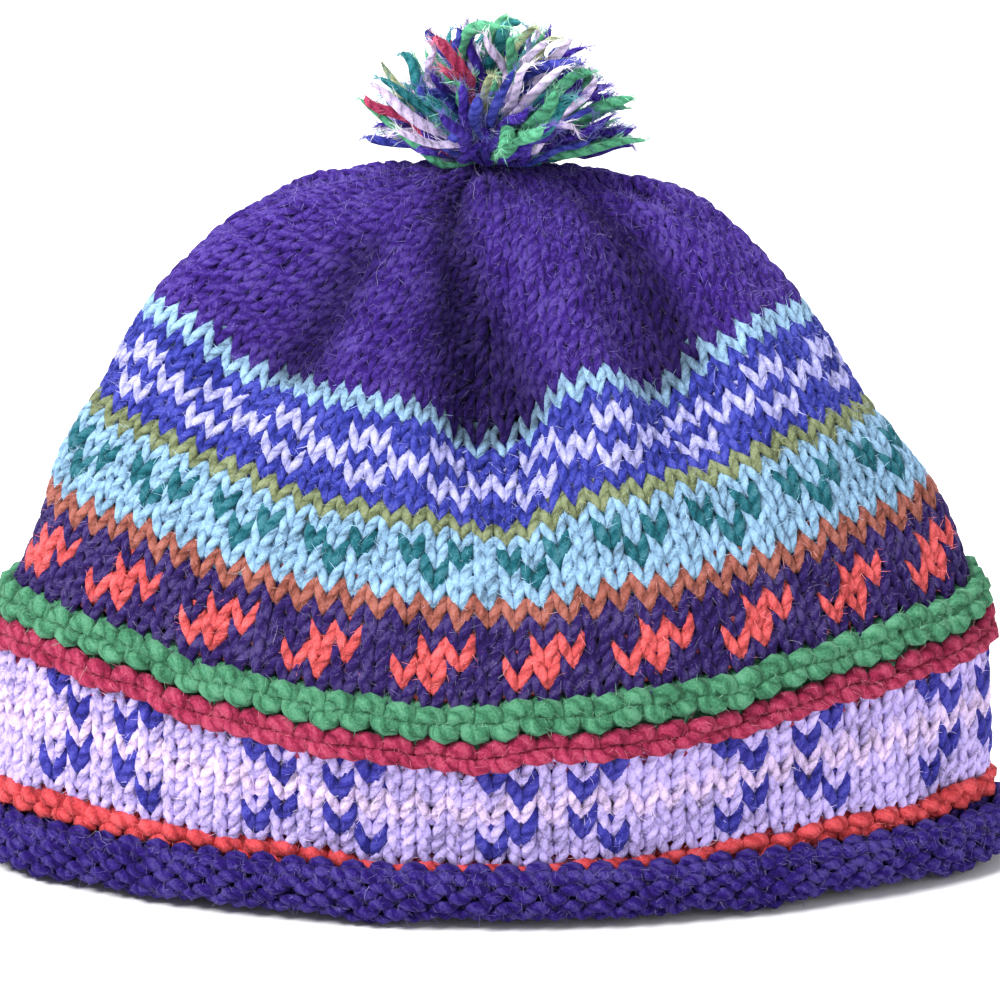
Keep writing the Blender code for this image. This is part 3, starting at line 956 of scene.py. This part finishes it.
def scattered_strands(dice):
    """Bends and tips that fill the half ball: short ones in front, full ones behind and at the sides."""
    number = np.arange(SCATTERED)
    rise = LOW_RISE + (1.0 - LOW_RISE) * (number + 0.5) / SCATTERED
    turn = GOLDEN_TURN * number
    ring = np.sqrt(1.0 - rise ** 2)
    heading = np.stack([ring * np.cos(turn), ring * np.sin(turn), rise], axis=-1)
    heading = unit(heading + dice.normal(0.0, HEADING_SPREAD, (SCATTERED, 3)))
    lowest = LOW_RISE + FRONT_RISE * smooth_step(-heading[:, 1] / FRONT_RISE_SPAN)
    lowest = lowest + LEFT_RISE * smooth_step(-heading[:, 0] / LEFT_RISE_SPAN)
    heading[:, 2] = np.maximum(heading[:, 2], lowest)
    in_front = smooth_step((-heading[:, 1] - FRONT_START) / FRONT_SPAN)
    reach = REACH * dice.uniform(SHORTEST, LONGEST, SCATTERED) * (1.0 - FRONT_SHORTER * in_front)
    reach = reach * (1.0 + RIGHT_LONGER * heading[:, 0] - FAR_LEFT_SHORTER * (heading[:, 0] < FAR_LEFT))
    tips = unit(heading) * reach[:, None]
    bends = tips * 0.5 + dice.normal(0.0, BEND_SPREAD, (SCATTERED, 3))
    bends[:, 2] = np.maximum(bends[:, 2], LOWEST_BEND)
    return bends, tips, in_front


def pompom_piece():
    """Cut ends of yarn that fan out of the middle of the crown."""
    dice = np.random.default_rng(POMPOM_SEED)
    bends, tips = charted_strands(dice)
    more_bends, more_tips, in_front = scattered_strands(dice)
    paths = strand_paths(np.concatenate([bends, more_bends]), np.concatenate([tips, more_tips]))
    count = len(paths)
    share = STRAND_SHARES
    sway = dice.normal(0.0, SWAY, (count, 2, 3))
    paths = paths + sway[:, :1] * np.sin(share * SWAY_SLOW)[None, :, None]
    paths = paths + sway[:, 1:] * np.sin(share * SWAY_FAST + 1.0)[None, :, None]
    paths[..., 2] = np.maximum(paths[..., 2], ROOT[2] + ROOT_CLEARANCE - TIP_DROOP * share)
    core = dice.choice(len(POMPOM_YARNS), SCATTERED, p=CORE_MIX)
    left = dice.choice(len(POMPOM_YARNS), SCATTERED, p=LEFT_MIX)
    right = dice.choice(len(POMPOM_YARNS), SCATTERED, p=RIGHT_MIX)
    outer = np.where(more_tips[:, 0] < MIX_SIDE, left, right)
    chosen = np.where(dice.random(SCATTERED) < in_front, core, outer)
    chosen = np.concatenate([[POMPOM_YARNS.index(strand.yarn) for strand in CHARTED], chosen])
    thick = dice.uniform(THINNEST, THICKEST, SCATTERED)
    thick = np.concatenate([[strand.thickness for strand in CHARTED], thick])
    radii = STRAND_RADIUS * thick[:, None] * np.interp(share, TAPER_SHARES, TAPER_SIZES)
    radii = radii * (1.0 + dice.normal(0.0, STRAND_UNEVEN, (count, STRAND_STEPS)))
    slots = np.repeat(chosen[:, None], STRAND_STEPS - 1, axis=1)
    out = np.broadcast_to(unit(dice.normal(size=(count, 1, 3))), paths.shape)
    mesh = Mesh()
    mesh.add_tubes(paths, out, radii, slots, sides=STRAND_SIDES)
    # The yarns' brighter copies, painted light against the pompom's own shade
    names = ["tuft_" + name for name in POMPOM_YARNS]
    piece = mesh.build("pompom_yarn", [WOOLS[name] for name in names])
    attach(piece, "root")
    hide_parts("pompom")
    return mesh, names


# Loose fibres: how many, points along each, shortest and longest, width, how far they curl, how pale
# they are, how far they lean along the yarn, the seed of their dice, and whether they grow from the pompom
Fibres = namedtuple("Fibres", "name count steps short long width curl pale lean seed pompom")
FIBRES = (
    Fibres("short_fibres", 92000, 2, 0.0008, 0.0030, 0.00013, 0.0, 0.035, 0.5, 21, False),
    Fibres("long_fibres", 300, 12, 0.0050, 0.0130, 0.00008, 2.2, 0.30, 0.0, 22, False),
    Fibres("pompom_fibres", 22000, 3, 0.0014, 0.0046, 0.00020, 0.5, 0.04, 2.0, 23, True),
)
FIBRE_TIP = 0.35
FLATTEST = 0.2
LOWEST_FIBRE = 0.0003

# The middle of the hat, and how far a face of the yarn is turned away from it where it grows fibres
HAT_MIDDLE = (0.0, 0.0, 0.08)
TURNED_AWAY = 0.2


def yarn_surface(sources, names):
    """Corners, outward directions, yarns and painted fold shade of the yarn's faces that face away from the
    hollow.
    """
    corners, normals, kinds, shades = [], [], [], []
    for mesh, slots in sources:
        quads = np.concatenate(mesh.quads)
        corners.append(np.concatenate(mesh.points)[quads])
        normals.append(unit(np.concatenate(mesh.normals)[quads[:, 0]]))
        kinds.append(np.array([names.index(slot) for slot in slots])[np.concatenate(mesh.slots)])
        shades.append(np.concatenate(mesh.shades)[quads[:, 0]])
    corners, normals, kinds, shades = (np.concatenate(part) for part in (corners, normals, kinds, shades))
    away = unit(corners[:, 0] - np.array(HAT_MIDDLE))
    open_side = (normals * away).sum(axis=-1) > TURNED_AWAY
    return corners[open_side], normals[open_side], kinds[open_side], shades[open_side]


def fibre_piece(kind, names, surface):
    """Loose fibres that stand off the yarn all over the hat."""
    materials = [fibre(kind.name + "_" + name, YARNS[name], kind.pale) for name in names]
    dice = np.random.default_rng(kind.seed)
    corners, normals, yarns, shades = surface
    picked = dice.integers(0, len(corners), kind.count)
    face, normal = corners[picked], normals[picked]
    along, around = dice.random((2, kind.count, 1))
    start = face[:, 0] + along * (face[:, 3] - face[:, 0]) + around * (face[:, 1] - face[:, 0])
    length = dice.uniform(kind.short, kind.long, kind.count)
    sideways = unit(np.cross(normal, dice.normal(size=(kind.count, 3))))
    heading = unit(normal * dice.uniform(FLATTEST, 1.0, (kind.count, 1)) + sideways)
    heading = unit(heading + unit(face[:, 3] - face[:, 0]) * kind.lean)
    turns = dice.normal(0.0, kind.curl, (kind.count, kind.steps - 1, 3))
    headings = unit(heading[:, None] + np.cumsum(turns, axis=1) * (2.0 / kind.steps))
    steps = headings * (length / (kind.steps - 1))[:, None, None]
    paths = np.concatenate([start[:, None], start[:, None] + np.cumsum(steps, axis=1)], axis=1)
    paths[..., 2] = np.maximum(paths[..., 2], LOWEST_FIBRE)
    thin = np.linspace(1.0, FIBRE_TIP, kind.steps)
    width = kind.width * thin * np.ones((kind.count, 1))
    mesh = Mesh()
    mesh.add_ribbons(paths, normal, width, yarns[picked], shades[picked])
    piece = mesh.build(kind.name, materials)
    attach(piece, "root")


def fuzz_pieces(sources):
    """All kinds of loose fibres. The last of the sources, meshes with their yarns, is the pompom."""
    for kind in FIBRES:
        grown_from = sources[-1:] if kind.pompom else sources[:-1]
        names = sorted({name for mesh, slots in grown_from for name in slots})
        fibre_piece(kind, names, yarn_surface(grown_from, names))


# The studio: where the camera aims, the sensor's width, half the floor's side, the even light from all
# round and the lamps, with their sizes in metres and their powers in watts
AIM = Vector((0.002, 0.0, 0.092))
SENSOR = 36.0
FLOOR_HALF = 4.0
WORLD_STRENGTH = 0.50
Lamp = namedtuple("Lamp", "name place target size power")
LAMPS = (
    Lamp("key_light", (-0.75, -0.75, 1.05), HAT_MIDDLE, 0.6, 29.0),
    Lamp("fill_light", (0.9, -0.8, 0.6), HAT_MIDDLE, 0.9, 4.0),
    Lamp("top_light", (0.1, 0.3, 1.3), HAT_MIDDLE, 0.9, 12.0),
    Lamp("floor_light", (0.0, 1.6, 1.2), (0.0, 1.6, 0.0), 1.6, 30.0),
)


def area_light(lamp):
    light = bpy.data.lights.new(lamp.name, "AREA")
    light.shape = "DISK"
    light.size = lamp.size
    light.energy = lamp.power
    thing = bpy.data.objects.new(lamp.name, light)
    thing.location = lamp.place
    thing.rotation_euler = (Vector(lamp.target) - Vector(lamp.place)).to_track_quat("-Z", "Y").to_euler()
    bpy.context.scene.collection.objects.link(thing)


def floor_piece():
    """Plain pale floor."""
    nodes = Nodes("pale_floor")
    coordinates = nodes.new("ShaderNodeTexCoord")
    shade = nodes.noise(coordinates.outputs["Object"], 3.0)
    colour = nodes.ramp(shade, [(0.3, (0.93, 0.93, 0.94)), (0.7, (0.95, 0.95, 0.95))])
    nodes.link(colour, nodes.shader.inputs["Base Color"])
    nodes.shader.inputs["Roughness"].default_value = 0.9
    mesh = bpy.data.meshes.new("floor")
    sides = ((-1, -1), (1, -1), (1, 1), (-1, 1))
    mesh.from_pydata([(FLOOR_HALF * x, FLOOR_HALF * y, 0.0) for x, y in sides], [], [(0, 1, 2, 3)])
    mesh.materials.append(nodes.material)
    floor = bpy.data.objects.new("floor", mesh)
    bpy.context.scene.collection.objects.link(floor)


def camera():
    """Camera in front of the hat and a little above it, framed as the photograph is."""
    lens = bpy.data.cameras.new("camera")
    lens.sensor_width = SENSOR
    lens.lens = SENSOR * VIEW_DISTANCE / VIEW_WIDTH
    thing = bpy.data.objects.new("camera", lens)
    away = Vector((0.0, -math.cos(VIEW_HEIGHT), math.sin(VIEW_HEIGHT)))
    thing.location = AIM + away * VIEW_DISTANCE
    thing.rotation_euler = (-away).to_track_quat("-Z", "Y").to_euler()
    bpy.context.scene.collection.objects.link(thing)
    bpy.context.scene.camera = thing


def studio():
    """Soft light from all round, brightest from above and in front."""
    world = bpy.data.worlds.new("studio")
    world.use_nodes = True
    background = world.node_tree.nodes["Background"]
    background.inputs["Color"].default_value = (1.0, 1.0, 1.0, 1.0)
    background.inputs["Strength"].default_value = WORLD_STRENGTH
    bpy.context.scene.world = world
    bpy.context.scene.view_settings.view_transform = "Standard"
    for lamp in LAMPS:
        area_light(lamp)


def main():
    camera()
    studio()
    floor_piece()
    pieces = [brim_piece()]
    pieces += [band_piece(band, number) for number, band in enumerate(BANDS)]
    pieces.append(crown_piece())
    pieces.append(pompom_piece())
    fuzz_pieces(pieces)


main()
